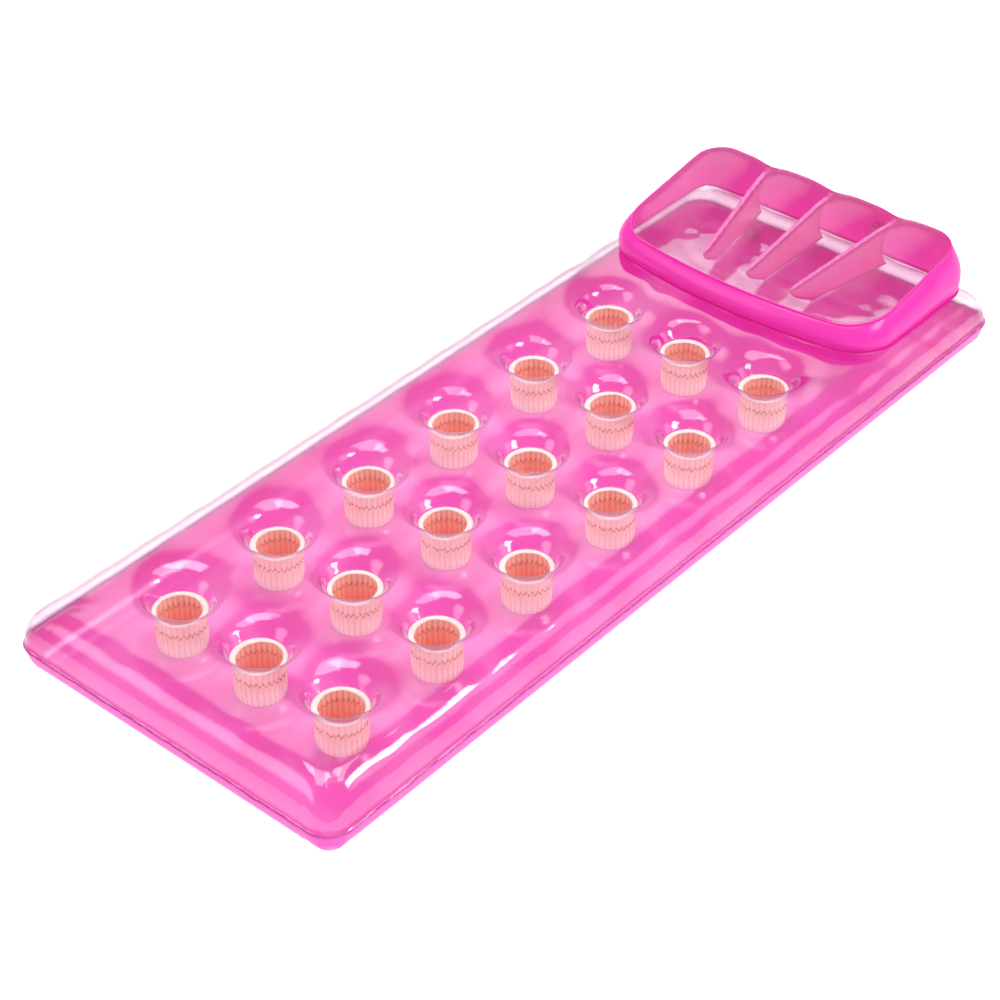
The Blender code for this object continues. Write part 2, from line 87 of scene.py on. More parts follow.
# Each patch: its direction, the angles in degrees where it is full and where it ends, its strength.
SKY_PATCHES = (
    ((-0.560, 0.560, 0.611), 3, 19, 1.9),
    ((-0.513, -0.610, 0.602), 6, 20, 2.0),
    ((0.611, 0.603, 0.513), 5, 16, 1.3),
)
world = bpy.data.worlds.new("studio")
world.use_nodes = True
sky = world.node_tree
direction = sky.nodes.new("ShaderNodeTexCoord").outputs["Generated"]
glow = None
for toward, near, far, strength in SKY_PATCHES:
    turn = sky.nodes.new("ShaderNodeVectorMath")
    turn.operation = "DOT_PRODUCT"
    turn.inputs[1].default_value = Vector(toward).normalized()
    sky.links.new(direction, turn.inputs[0])
    fade = sky.nodes.new("ShaderNodeMapRange")
    fade.interpolation_type = "SMOOTHSTEP"
    fade.inputs["From Min"].default_value = math.cos(math.radians(far))
    fade.inputs["From Max"].default_value = math.cos(math.radians(near))
    fade.inputs["To Max"].default_value = strength
    fade.inputs["To Min"].default_value = SKY if glow is None else 0.0
    sky.links.new(turn.outputs["Value"], fade.inputs["Value"])
    if glow is not None:
        both = sky.nodes.new("ShaderNodeMath")
        sky.links.new(glow, both.inputs[0])
        sky.links.new(fade.outputs["Result"], both.inputs[1])
    glow = fade.outputs["Result"] if glow is None else both.outputs[0]
sky.nodes["Background"].inputs["Color"].default_value = (1.0, 1.0, 1.0, 1.0)
sky.links.new(glow, sky.nodes["Background"].inputs["Strength"])
bpy.context.scene.world = world


def lamp(name, place, aim, size, radiance):
    """A rectangular soft lamp; radiance is how bright its face looks beside the white floor's 1."""
    light = bpy.data.lights.new(name, "AREA")
    light.shape = "RECTANGLE"
    light.size, light.size_y = size
    light.energy = radiance * math.pi * size[0] * size[1]
    holder = bpy.data.objects.new(name, light)
    bpy.context.collection.objects.link(holder)
    holder.location = place
    holder.rotation_mode = "QUATERNION"
    holder.rotation_quaternion = (Vector(aim) - Vector(place)).to_track_quat("-Z", "Y")


lamp("panel_over", (0.1, 0.1, 3.2), (0.0, 0.0, 0.1), (1.7, 1.5), 2.4)
lamp("lamp_left", (-0.6, -0.4, 2.6), (0.0, 0.0, 0.1), (0.80, 0.80), 4.0)
lamp("lamp_right", (2.0, 0.8, 2.3), (0.0, 0.0, 0.1), (0.90, 0.90), 9.0)

bpy.ops.mesh.primitive_circle_add(vertices=96, radius=14.0, fill_type="NGON", location=(0.0, 0.0, -0.0006))
floor = bpy.context.object
floor.name = "floor"
floor_paint = bpy.data.materials.new("floor_paint")
floor_paint.use_nodes = True
paint = floor_paint.node_tree.nodes["Principled BSDF"]
paint.inputs["Base Color"].default_value = (0.60, 0.60, 0.60, 1.0)
paint.inputs["Roughness"].default_value = 0.9
paint.inputs["Specular IOR Level"].default_value = 0.1
paint.inputs["Emission Color"].default_value = (1.0, 1.0, 1.0, 1.0)
paint.inputs["Emission Strength"].default_value = 0.85
floor.data.materials.append(floor_paint)
floor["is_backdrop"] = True

# ---- Mattress: clear top film -------------------------------------------------------------------
# Colourless vinyl film with a hole cut at each of the eighteen pockets. Air holds it up in domes
# between the pockets, and it is welded to the pink film round the edge, where it puckers.
WIDTH, LENGTH = 0.704, 1.840
CORNER_R = 0.045
FLANGE = 0.003
EDGE_R = 0.060
SEAM_Z = 0.062
FILM_T = 0.0005
GAP = 0.0003
COLUMNS = ("left", "middle", "right")
ROWS = 6
RIM_R = 0.046
RIM_Z = 0.092
TOP_CROWN, HEAD_CROWN = 0.046, 0.038
CROWN_CHANGE = (0.42, 0.52)
DOME_DECAY = 0.090
DOME_RISE = 2.0
PILLOW_FRONT_Y, PILLOW_HALF_X = 0.5560, 0.304
PILLOW_BOW = 0.036
RISE_TO_PILLOW = 0.095
CORNER_VALLEY = 0.016
SWAY = 0.0012
RIM_PUCKER = 0.00045
GRID = 0.0095
PUCKERS = 30
LIP_RISE = 0.0015
LIP_FRONT = 0.0130
LIP_AWAY = 0.018
LIP_FADE = 0.030
LIP_TOWARD = math.radians(-60)
EDGE_INSETS = (0.0, 0.0015, 0.003, 0.0045, 0.007, 0.0105, 0.0155, 0.022, 0.030, 0.039, 0.049)
RING_STEPS = (0.0006, 0.0022, 0.0042, 0.0066, 0.0094, 0.0126, 0.0165, 0.0210, 0.0270)
RING_POINTS = 56
BODY = "float_body"

pocket_places = {}
for row in range(ROWS):
    for column in COLUMNS:
        low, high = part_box(f"pocket_{row + 1}_{column}")
        pocket_places[f"{row + 1}_{column}"] = ((low.x + high.x) / 2, (low.y + high.y) / 2)
centres = np.array(list(pocket_places.values()))


def edge_distance(x, y):
    """How far inside the float's outline points lie, in plan."""
    across = np.abs(x) - (WIDTH / 2 - CORNER_R)
    along = np.abs(y) - (LENGTH / 2 - CORNER_R)
    past = np.hypot(np.maximum(across, 0.0), np.maximum(along, 0.0))
    return CORNER_R - past - np.minimum(np.maximum(across, along), 0.0)


def smooth_step(value, low, high):
    run = np.clip((value - low) / (high - low), 0.0, 1.0)
    return run * run * (3.0 - 2.0 * run)


def spaced(corners, step):
    """Points no further apart than about a step along a closed line of corners."""
    points = []
    for here, there in zip(corners, corners[1:] + corners[:1]):
        pieces = max(1, round(math.dist(here, there) / step))
        for piece in range(pieces):
            points.append(tuple(a + (b - a) * piece / pieces for a, b in zip(here, there)))
    return points


def outline(inset, step):
    """The float's rounded outline in plan, moved inwards, with a point about every step."""
    radius = max(CORNER_R - inset, 0.006)
    half_x, half_y = WIDTH / 2 - inset - radius, LENGTH / 2 - inset - radius
    turns = max(4, round(radius * math.pi / 2 / min(step, 0.005)))
    corners = []
    for quarter, (side_x, side_y) in enumerate(((1, -1), (1, 1), (-1, 1), (-1, -1))):
        for turn in range(turns + 1):
            angle = math.radians(90 * (quarter - 1 + turn / turns))
            x = side_x * half_x + radius * math.cos(angle)
            y = side_y * half_y + radius * math.sin(angle)
            corners.append((x, y))
    return spaced(corners, step)


def circle(centre, radius, count, turned=0.0):
    angles = [2 * math.pi * (step + turned) / count for step in range(count)]
    return [(centre[0] + radius * math.cos(a), centre[1] + radius * math.sin(a)) for a in angles]


def cut_film(loops, loose, holes=()):
    """Triangles in plan over closed lines and loose points, with the round holes left open."""
    points, edges = [], []
    for loop in loops:
        start = len(points)
        points += loop
        edges += [(start + i, start + (i + 1) % len(loop)) for i in range(len(loop))]
    done = delaunay_2d_cdt([Vector(point) for point in points + loose], edges, [], 1, 1e-7)
    plan = np.array([tuple(point) for point in done[0]])
    faces = np.array([tuple(face) for face in done[2]])
    middles = plan[faces].mean(1)
    keep = np.ones(len(faces), bool)
    for centre, radius in holes:
        keep &= np.hypot(middles[:, 0] - centre[0], middles[:, 1] - centre[1]) > radius * 0.985
    return plan, faces[keep]


def relax(plan, faces, fixed, decay):
    """Height of a film blown up by air and held down at its fixed points: 0 there, towards 1 far off."""
    corner = plan[faces]
    weights, ends = [], []
    for side in range(3):
        a, b, c = (corner[:, (side + turn) % 3] for turn in range(3))
        ab, ac = b - a, c - a
        area = np.abs(ab[:, 0] * ac[:, 1] - ab[:, 1] * ac[:, 0])
        weights.append(0.5 * np.clip((ab * ac).sum(1) / np.maximum(area, 1e-12), 0.01, 20.0))
        ends.append(faces[:, [(side + 1) % 3, (side + 2) % 3]])
    mass = np.bincount(faces.ravel(), np.repeat(area / 6, 3), len(plan)) / decay ** 2
    weight, ends = np.concatenate(weights), np.concatenate(ends)
    free = ~fixed

    def pull(heights):
        flow = weight * (heights[ends[:, 0]] - heights[ends[:, 1]])
        flows = np.bincount(ends[:, 0], flow, len(plan)) - np.bincount(ends[:, 1], flow, len(plan))
        return np.where(free, flows + mass * heights, 0.0)

    scale = np.bincount(ends.ravel(), np.repeat(weight, 2), len(plan)) + mass + 1e-12
    height = np.zeros(len(plan))
    left = np.where(free, mass, 0.0)
    way = left / scale
    size = (left * way).sum()
    for _ in range(260):
        pulled = pull(way)
        share = size / (way * pulled).sum()
        height += share * way
        left -= share * pulled
        step = left / scale
        new_size = (left * step).sum()
        way = step + way * new_size / size
        size = new_size
    return height


def seam_pucker(x, y, inset):
    """Small ripples where the films gather along the weld, stronger round the corners."""
    along = np.where(np.abs(x) * LENGTH > np.abs(y) * WIDTH, y, x)
    near_corner = np.exp(-(np.hypot(WIDTH / 2 - np.abs(x), LENGTH / 2 - np.abs(y)) / 0.085) ** 2)
    ripple = np.sin(along * 410 + 3 * np.sin(along * 37)) * np.sin(along * 151)
    fold = np.sin(along * 330 + 4 * np.sin(along * 70))
    fade = np.exp(-np.abs(inset - 0.009) / 0.009)
    return (0.00045 * ripple + 0.0030 * near_corner * fold) * fade * smooth_step(inset, 0.001, 0.006)


def crown_at(y):
    """How far the film stands above the pockets' rings between them, less under the pillow."""
    return TOP_CROWN + (HEAD_CROWN - TOP_CROWN) * smooth_step(y, *CROWN_CHANGE)


def quarter_rise(inset):
    """From 0 at the seam to 1 at the top of the side, in a quarter turn."""
    run = np.clip((inset - FLANGE) / EDGE_R, 0.0, 1.0)
    return np.sqrt(1.0 - (1.0 - run) ** 2)


def top_height(plan, lift):
    """Height of the clear film: a quarter turn up from the seam, then domes between the pockets."""
    x, y = plan.T
    inset = edge_distance(x, y)
    seam = SEAM_Z + GAP / 2
    share = np.tanh(DOME_RISE * lift)
    pillow_front = PILLOW_FRONT_Y - PILLOW_BOW * (1.0 - (x / PILLOW_HALF_X) ** 2)
    share += (1.0 - share) * smooth_step(y, pillow_front - RISE_TO_PILLOW, pillow_front)
    z = seam + (RIM_Z + crown_at(y) * share - seam) * quarter_rise(inset)
    corner_x, corner_y = WIDTH / 2 - np.abs(x), LENGTH / 2 - np.abs(y)
    valley = np.exp(-((corner_x - corner_y) / 0.020) ** 2) * np.exp(-((corner_x + corner_y) / 0.13) ** 2)
    z -= CORNER_VALLEY * valley * smooth_step(inset, 0.006, 0.030)
    sway = np.sin(x * 41 + 2 * np.sin(y * 17)) * np.sin(y * 34 + 1.5 * np.sin(x * 23))
    z += SWAY * sway * smooth_step(lift, 0.02, 0.20)
    for number, centre in enumerate(centres):
        away = np.hypot(x - centre[0], y - centre[1]) - RIM_R
        angle = np.arctan2(y - centre[1], x - centre[0])
        wave = np.sin(PUCKERS * angle + number) * np.sin(7 * angle + 2.1 * number)
        z += RIM_PUCKER * wave * np.exp(-np.maximum(away, 0.0) / 0.012) * smooth_step(away, 0.0, 0.004)
        front = 0.5 + 0.5 * np.cos(angle - LIP_TOWARD)
        fall = np.exp(-np.maximum(away - LIP_AWAY, 0.0) / LIP_FADE)
        z += (LIP_RISE + LIP_FRONT * front) * smooth_step(away, 0.0005, LIP_AWAY) * fall
    return z + seam_pucker(x, y, inset)


def make_piece(name, points, faces):
    mesh = bpy.data.meshes.new(name)
    mesh.from_pydata([tuple(point) for point in points], [], [tuple(face) for face in faces])
    mesh.shade_smooth()
    piece = bpy.data.objects.new(name, mesh)
    bpy.context.collection.objects.link(piece)
    return piece


def thicken(piece, thickness=FILM_T, offset=1.0):
    """Make a single-surface film a closed one; offset 1 adds on the side that its faces point to."""
    solid = piece.modifiers.new("film", "SOLIDIFY")
    solid.thickness = thickness
    solid.offset = offset
    return piece


def loose_points(clear_of_pockets, inner):
    """A staggered grid inside the float, kept clear of the pockets' rings and of the edge lines."""
    pitch = GRID * 0.866
    rows, columns = np.mgrid[0:int(LENGTH / pitch) + 1, 0:int(WIDTH / GRID) + 1]
    x = -WIDTH / 2 + (columns + 0.5 * (rows % 2)) * GRID
    y = -LENGTH / 2 + rows * pitch
    x, y = x.ravel(), y.ravel()
    near = np.hypot(centres[:, 0] - x[:, None], centres[:, 1] - y[:, None]).min(1)
    keep = (near > clear_of_pockets) & (edge_distance(x, y) > inner)
    return list(zip(x[keep].tolist(), y[keep].tolist()))


edge_lines = [outline(inset, 0.007) for inset in EDGE_INSETS]
rim_rings = []
for centre in centres:
    for index, out in enumerate(RING_STEPS):
        rim_rings.append(circle(centre, RIM_R + out, RING_POINTS, 0.5 * (index % 2)))
loose = loose_points(RIM_R + RING_STEPS[-1] + 0.006, EDGE_INSETS[-1] + 0.006)
holes = [(centre, RIM_R + RING_STEPS[0]) for centre in centres]
plan, faces = cut_film(edge_lines + rim_rings, loose, holes)
to_rim = np.hypot(plan[:, None, 0] - centres[:, 0], plan[:, None, 1] - centres[:, 1]).min(1)
held = to_rim < RIM_R + RING_STEPS[0] + 1e-4
lift = relax(plan, faces, held, DOME_DECAY)
top_film = thicken(make_piece("mattress_top_film", np.column_stack([plan, top_height(plan, lift)]), faces))


def new_material(name):
    """An empty material, with a function that adds a node and plugs in its inputs."""
    material = bpy.data.materials.new(name)
    material.use_nodes = True
    tree = material.node_tree
    tree.nodes.clear()

    def node(kind, *inputs, **named):
        made = tree.nodes.new("ShaderNode" + kind)
        pairs = [(made.inputs[i], v) for i, v in enumerate(inputs)]
        pairs += [(made.inputs[key.replace("_", " ")], value) for key, value in named.items()]
        for socket, value in pairs:
            if isinstance(value, bpy.types.NodeSocket):
                tree.links.new(value, socket)
            elif value is not None:
                socket.default_value = value
        return made

    def maths(operation, *values):
        made = node("Math", *values)
        made.operation = operation
        return made.outputs[0]

    return material, node, maths


def finish_material(material, shader):
    output = material.node_tree.nodes.new("ShaderNodeOutputMaterial")
    material.node_tree.links.new(shader, output.inputs["Surface"])
    return material


def ramp(node, factor, stops):
    """Colours along a factor from (place, colour) stops."""
    made = node("ValToRGB", factor)
    elements = made.color_ramp.elements
    while len(elements) < len(stops):
        elements.new(0.5)
    for element, (place, colour) in zip(elements, stops):
        element.position = place
        element.color = (*colour, 1.0)
    return made.outputs["Color"]


def mix_colour(node, share, first, second):
    made = node("Mix", share)
    made.data_type = "RGBA"
    for socket, colour in ((made.inputs[6], first), (made.inputs[7], second)):
        if isinstance(colour, bpy.types.NodeSocket):
            made.id_data.links.new(colour, socket)
        else:
            socket.default_value = (*colour, 1.0)
    return made.outputs[2]


def clear_vinyl(name, tint, ripple, haze, shine=1.0, ripple_scale=50.0, stretch=(1.0, 1.0, 1.0)):
    """Clear film: light goes straight through, and the studio is mirrored more at a slant."""
    material, node, maths = new_material(name)
    coords = node("Mapping", node("TexCoord").outputs["Object"], Scale=stretch).outputs[0]
    grain = node("TexNoise", Vector=coords, Scale=ripple_scale, Detail=4.0, Roughness=0.55).outputs["Fac"]
    bump = node("Bump", Strength=ripple, Distance=0.001, Height=grain).outputs["Normal"]
    cloud = node("TexNoise", Vector=coords, Scale=8.0, Detail=2.0).outputs["Fac"]
    facing = node("LayerWeight", Normal=bump).outputs["Facing"]
    slant = maths("MULTIPLY_ADD", maths("POWER", facing, 4.0), 0.80 * shine, 0.045 * shine)
    share = maths("MULTIPLY_ADD", cloud, haze, slant)
    mirror = node("BsdfPrincipled", Metallic=1.0, Normal=bump, Base_Color=(1.0, 0.985, 1.0, 1.0))
    material.node_tree.links.new(maths("MULTIPLY_ADD", cloud, 0.06, 0.06), mirror.inputs["Roughness"])
    edge_on = mix_colour(node, maths("POWER", facing, 2.5), tint, (0.83, 0.78, 0.82))
    through = node("BsdfTransparent", Color=edge_on)
    shader = node("MixShader", share, through.outputs[0], mirror.outputs[0]).outputs[0]
    return finish_material(material, shader)


top_film.data.materials.append(clear_vinyl("clear_vinyl_mattress", (0.985, 0.975, 0.985), 0.08, 0.015))
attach(top_film, BODY)
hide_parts("top_sheet")

# ---- Mattress: pink bottom film -----------------------------------------------------------------
# Hot-pink vinyl film, welded to the clear one along the seam halfway up the side. It lies flat on
# the ground, turns up at the edge and is drawn up to the foot of every pocket tube.
TUBE_R = 0.0425
TUBE_FLOOR_Z = 0.022
FLOOR_REACH = 0.045
FOOT_STEPS = (0.0, 0.007, 0.018)
FOOT_POINTS = 40


def bottom_height(plan):
    x, y = plan.T
    inset = edge_distance(x, y)
    share = np.ones(len(plan))
    for centre in centres:
        near = np.clip((np.hypot(x - centre[0], y - centre[1]) - TUBE_R) / FLOOR_REACH, 0.0, 1.0)
        share *= 1.0 - (1.0 - near) ** 2.4
    seam = SEAM_Z - GAP / 2
    flat = FILM_T + TUBE_FLOOR_Z * (1.0 - share)
    return seam + (flat - seam) * quarter_rise(inset) + seam_pucker(x + 0.01, y + 0.013, inset)


foot_rings = []
for centre in centres:
    for index, out in enumerate(FOOT_STEPS):
        foot_rings.append(circle(centre, TUBE_R + out, FOOT_POINTS, 0.5 * (index % 2)))
loose = loose_points(TUBE_R + 0.025, EDGE_INSETS[-1] + 0.006) + [tuple(centre) for centre in centres.tolist()]
plan, faces = cut_film(edge_lines + foot_rings, loose)
under = make_piece("mattress_bottom_film", np.column_stack([plan, bottom_height(plan)]), faces[:, ::-1])
bottom_film = thicken(under)


def pink_vinyl(name, colour, deep, glow, ripple=0.10, opening=0.0):
    """Dyed vinyl, glossy, slightly uneven in its dye, that glows where light falls on its back."""
    material, node, maths = new_material(name)
    coords = node("TexCoord").outputs["Object"]
    cloud = node("TexNoise", Vector=coords, Scale=6.0, Detail=3.0).outputs["Fac"]
    grain = node("TexNoise", Vector=coords, Scale=42.0, Detail=4.0, Roughness=0.55).outputs["Fac"]
    bump = node("Bump", Strength=ripple, Distance=0.001, Height=grain).outputs["Normal"]
    dye = ramp(node, cloud, [(0.30, deep), (0.62, colour)])
    skin = node("BsdfPrincipled", Base_Color=dye, Normal=bump, IOR=1.5, Coat_Weight=0.25, Coat_Roughness=0.05)
    material.node_tree.links.new(maths("MULTIPLY_ADD", cloud, 0.10, 0.14), skin.inputs["Roughness"])
    soaked = node("BsdfTranslucent", Color=dye, Normal=bump)
    shader = node("MixShader", glow, skin.outputs[0], soaked.outputs[0]).outputs[0]
    if opening:
        shader = node("MixShader", opening, shader, node("BsdfTransparent", Color=dye).outputs[0]).outputs[0]
    return finish_material(material, shader)


PINK = (0.98, 0.068, 0.660)
DEEP_PINK = (0.97, 0.052, 0.600)
bottom_film.data.materials.append(pink_vinyl("pink_vinyl_mattress", PINK, DEEP_PINK, 0.30))
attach(bottom_film, BODY)
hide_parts("bottom_sheet")

# ---- Mattress: edge weld ------------------------------------------------------------------------
# The weld that joins the clear and the pink film is a flat pink lip all round, a few millimetres
# wide and pressed thin, with a slightly wavy free edge.
LIP_HALF = 0.0026
LIP_T = 0.0009


def welded_lip(name, line, half, thickness, wave, droop):
    """A thin closed strip along a line of (x, y, z) points, wavy on its outer side."""
    points, faces = [], []
    count = len(line)
    for index, (x, y, z) in enumerate(line):
        before, after = line[index - 1], line[(index + 1) % count]
        way = Vector((after[0] - before[0], after[1] - before[1])).normalized()
        reach = half + wave * (math.sin(index * 0.9) + 0.8 * math.sin(index * 0.37 + 1.0)) / 2
        sag = droop * (math.sin(index * 0.23) + 0.6 * math.sin(index * 0.61))
        corners = ((-half, 0.5), (reach, 0.5), (reach, -0.5), (-half, -0.5))
        points += [(x + way.y * r, y - way.x * r, z + t * thickness + sag) for r, t in corners]
    for index in range(count):
        here, there = index * 4, (index + 1) % count * 4
        faces += [(here + s, here + (s + 1) % 4, there + (s + 1) % 4, there + s) for s in range(4)]
    piece = make_piece(name, points, faces)
    return outward(piece)


def outward(piece, sharp=40):
    """Turn a closed piece's faces outwards and keep its real corners sharp."""
    body = bmesh.new()
    body.from_mesh(piece.data)
    bmesh.ops.recalc_face_normals(body, faces=body.faces)
    body.to_mesh(piece.data)
    body.free()
    piece.data.set_sharp_from_angle(angle=math.radians(sharp))
    return piece


line = [(x, y, SEAM_Z) for x, y in outline(0.0022, 0.004)]
edge_weld = welded_lip("mattress_edge_weld", line, LIP_HALF, LIP_T, 0.0005, 0.0007)
weld_pink = pink_vinyl("pink_vinyl_weld", (0.86, 0.060, 0.52), (0.74, 0.04, 0.46), 0.25, 0.3)
edge_weld.data.materials.append(weld_pink)
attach(edge_weld, BODY)

# ---- Pockets ------------------------------------------------------------------------------------
# Each pocket is a sleeve of salmon vinyl, gathered into pleats and welded to the top film in a
# white ring at its mouth. Its foot is welded to the bottom film, and a crease runs round its waist.
MOUTH_R = 0.0375
RIM_T = 0.0012
TUBE_FOOT_R = 0.0400
TUBE_T = 0.0008
TUBE_TOP_Z = RIM_Z - RIM_T - 0.0002
PLEATS = 28
PLEAT_DEPTH = 0.0017
WAIST_Z = 0.068
TUBE_POINTS = 168
TUBE_LEVELS = 26
RING_SIDES = 84
# The ring's section: how far across from mouth to rim, and how far up in thicknesses.
RING_SECTION = (
    (0.0, -0.75), (0.08, 0.1), (0.30, 0.62), (0.62, 0.75),
    (0.90, 0.45), (1.0, 0.0), (0.9, -0.45), (0.3, -0.5),
)
chance = random.Random(7)


def sleeve_vinyl(name, stops, crease, waist_shade_strength):
    """Salmon vinyl with painted shade: darker in the folds between its pleats, a broken crimson line of
    painted shade along the crease round the waist, and a faint painted glow.
    """
    material, node, maths = new_material(name)
    coords = node("TexCoord").outputs["Object"]
    x, y, z = node("SeparateXYZ", coords).outputs
    angle = maths("ARCTAN2", y, x)
    wander = node("TexNoise", Vector=coords, Scale=70.0, Detail=2.0).outputs["Fac"]
    height = maths("DIVIDE", maths("SUBTRACT", z, TUBE_FLOOR_Z), RIM_Z - TUBE_FLOOR_Z)
    folds = maths("SINE", maths("MULTIPLY_ADD", angle, PLEATS, maths("MULTIPLY", wander, 2.4)))
    # Painted shade: the colour is pulled towards dark salmon in the folds between the pleats, as far as
    # crease allows.
    depth = node("MapRange", folds, -0.2, 1.0, 0.0, crease).outputs[0]
    body = mix_colour(node, depth, ramp(node, height, stops), (0.84, 0.26, 0.22))
    # Painted shade: a broken crimson zigzag along the waist, standing for the shaded creases where the pleats
    # end.
    tooth = maths("PINGPONG", maths("MULTIPLY_ADD", angle, 4.456, wander), 0.5)
    line = maths("MULTIPLY_ADD", tooth, 0.018, WAIST_Z - 0.0045)
    off = maths("ABSOLUTE", maths("SUBTRACT", z, line))
    dashes = node("TexNoise", Vector=coords, Scale=190.0, Detail=1.0).outputs["Fac"]
    near = node("MapRange", off, 0.0014, 0.0031, 1.0, 0.0).outputs[0]
    broken = node("MapRange", dashes, 0.34, 0.44, 0.0, 1.0).outputs[0]
    painted_waist_shade = maths("MULTIPLY", maths("MULTIPLY", near, broken), waist_shade_strength)
    colour = mix_colour(node, painted_waist_shade, body, (0.62, 0.030, 0.045))
    bump = node("Bump", Strength=0.25, Distance=0.0008, Height=wander).outputs["Normal"]
    # Painted light: a faint glow in the vinyl's own colour brightens the sleeves.
    skin = node(
        "BsdfPrincipled", Base_Color=colour, Normal=bump, IOR=1.5, Coat_Weight=0.3, Coat_Roughness=0.08,
        Emission_Color=colour, Emission_Strength=0.12,
    )
    material.node_tree.links.new(maths("MULTIPLY_ADD", wander, 0.15, 0.22), skin.inputs["Roughness"])
    soaked = node("BsdfTranslucent", Color=colour)
    return finish_material(material, node("MixShader", 0.35, skin.outputs[0], soaked.outputs[0]).outputs[0])


outer_stops = (
    (0.0, (1.0, 0.99, 0.98)),
    (0.25, (1.0, 0.92, 0.89)),
    (0.52, (1.0, 0.66, 0.60)),
    (1.0, (1.0, 0.66, 0.59)),
)
# Painted shade: inside the sleeve the colour darkens towards the pocket's floor, deep in the hollow.
inner_stops = (
    (0.0, (1.0, 0.40, 0.34)),
    (0.40, (1.0, 0.58, 0.49)),
    (0.75, (1.0, 0.74, 0.64)),
    (1.0, (1.0, 0.84, 0.76)),
)
sleeve_outside = sleeve_vinyl("pocket_vinyl_outside", outer_stops, 0.42, 1.0)
sleeve_inside = sleeve_vinyl("pocket_vinyl_inside", inner_stops, 0.45, 0.45)

material, node, maths = new_material("pocket_vinyl_ring")
coords = node("TexCoord").outputs["Object"]
cloud = node("TexNoise", Vector=coords, Scale=60.0, Detail=3.0).outputs["Fac"]
grain = node("Bump", Strength=0.2, Distance=0.0006, Height=cloud).outputs["Normal"]
pale = ramp(node, cloud, [(0.35, (1.0, 0.88, 0.83)), (0.65, (1.0, 0.95, 0.92))])
skin = node("BsdfPrincipled", Base_Color=pale, Normal=grain, IOR=1.5, Roughness=0.25, Coat_Weight=0.3)
soaked = node("BsdfTranslucent", Color=pale)
ring_vinyl = finish_material(material, node("MixShader", 0.25, skin.outputs[0], soaked.outputs[0]).outputs[0])


def sleeve_radius(angle, z, shape):
    """Radius of a pleated sleeve: gathered at the mouth, pinched at its waist, rounded at the foot."""
    high = (z - TUBE_FLOOR_Z) / (TUBE_TOP_Z - TUBE_FLOOR_Z)
    base = TUBE_FOOT_R + (TUBE_R + 0.0006 - TUBE_FOOT_R) * min(1.0, high / 0.22) ** 0.5
    depth = PLEAT_DEPTH * (0.35 + 0.65 * math.sin(math.pi * min(1.0, high * 1.02)))
    fold = math.sin(PLEATS * angle + shape[0] + 0.8 * math.sin(3 * angle + shape[1]))
    waist = WAIST_Z + 0.0022 * math.sin(11 * angle + shape[1])
    pinch = 0.0011 * math.exp(-((z - waist) / 0.0017) ** 2)
    return base - depth * (0.5 - 0.5 * fold) - pinch


def build_pocket(key, place):
    shape = [chance.uniform(0, 2 * math.pi) for _ in range(4)]
    turned = [2 * math.pi * step / TUBE_POINTS for step in range(TUBE_POINTS)]
    points, faces = [], []
    for level in range(TUBE_LEVELS):
        z = TUBE_TOP_Z - (TUBE_TOP_Z - TUBE_FLOOR_Z - FILM_T - 2 * GAP) * level / (TUBE_LEVELS - 1)
        for angle in turned:
            radius = sleeve_radius(angle, z, shape)
            points.append((radius * math.cos(angle), radius * math.sin(angle), z))
        if level:
            low, high = level * TUBE_POINTS, (level - 1) * TUBE_POINTS
            for step in range(TUBE_POINTS):
                beside = (step + 1) % TUBE_POINTS
                faces.append((low + step, low + beside, high + beside, high + step))
    last = (TUBE_LEVELS - 1) * TUBE_POINTS
    points.append((0.0, 0.0, z + 0.0002))
    faces += [(last + (step + 1) % TUBE_POINTS, last + step, len(points) - 1) for step in range(TUBE_POINTS)]
    sleeve = thicken(make_piece(f"pocket_{key}_sleeve", points, faces), TUBE_T, -1.0)
    sleeve.modifiers["film"].material_offset = 1
    sleeve.data.materials.append(sleeve_outside)
    sleeve.data.materials.append(sleeve_inside)

    points, faces = [], []
    for step in range(RING_SIDES):
        angle = 2 * math.pi * step / RING_SIDES
        mouth = MOUTH_R + 0.0011 * math.cos(angle - shape[2]) + 0.0007 * math.cos(2 * angle + shape[3])
        wave = 0.0006 * math.sin(3 * angle + shape[0]) + 0.0004 * math.sin(8 * angle + shape[1])
        for across, up in RING_SECTION:
            radius = mouth + (RIM_R - mouth) * across
            z = RIM_Z + RIM_T * (up + 0.3) + wave * (1 - across)
            points.append((radius * math.cos(angle), radius * math.sin(angle), z))
    count = len(RING_SECTION)
    for step in range(RING_SIDES):
        here, there = step * count, (step + 1) % RING_SIDES * count
        for corner in range(count):
            beside = (corner + 1) % count
            faces.append((here + corner, here + beside, there + beside, there + corner))
    ring = outward(make_piece(f"pocket_{key}_ring", points, faces), 60)
    ring.data.materials.append(ring_vinyl)
    for piece in (sleeve, ring):
        piece.location = (*place, 0.0)
        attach(piece, BODY)
    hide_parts(f"pocket_{key}")


for key, place in pocket_places.items():
    build_pocket(key, place)

# ---- Pillow: wall -------------------------------------------------------------------------------
# A band of hot-pink vinyl round the wedge pillow, low in front and high at the head. It is welded
# to the mattress's film below and to the pillow's clear panel above, and air bulges it between.
PILLOW_BACK_Y = 0.8880
BOW_FADE = 0.12
PILLOW_FRONT_R, PILLOW_BACK_R = 0.070, 0.055
TOP_SET_IN = 0.016
WALL_BULGE = 0.013
FRONT_TOP_Z, BACK_TOP_Z = 0.178, 0.234
PILLOW_LIFT = 0.0030
BAFFLE_FRONT_X, BAFFLE_BACK_X = 0.100, 0.147
BAFFLE_FRONT_Y, BAFFLE_BACK_Y = 0.590, 0.852
WALL_LEVELS = 17


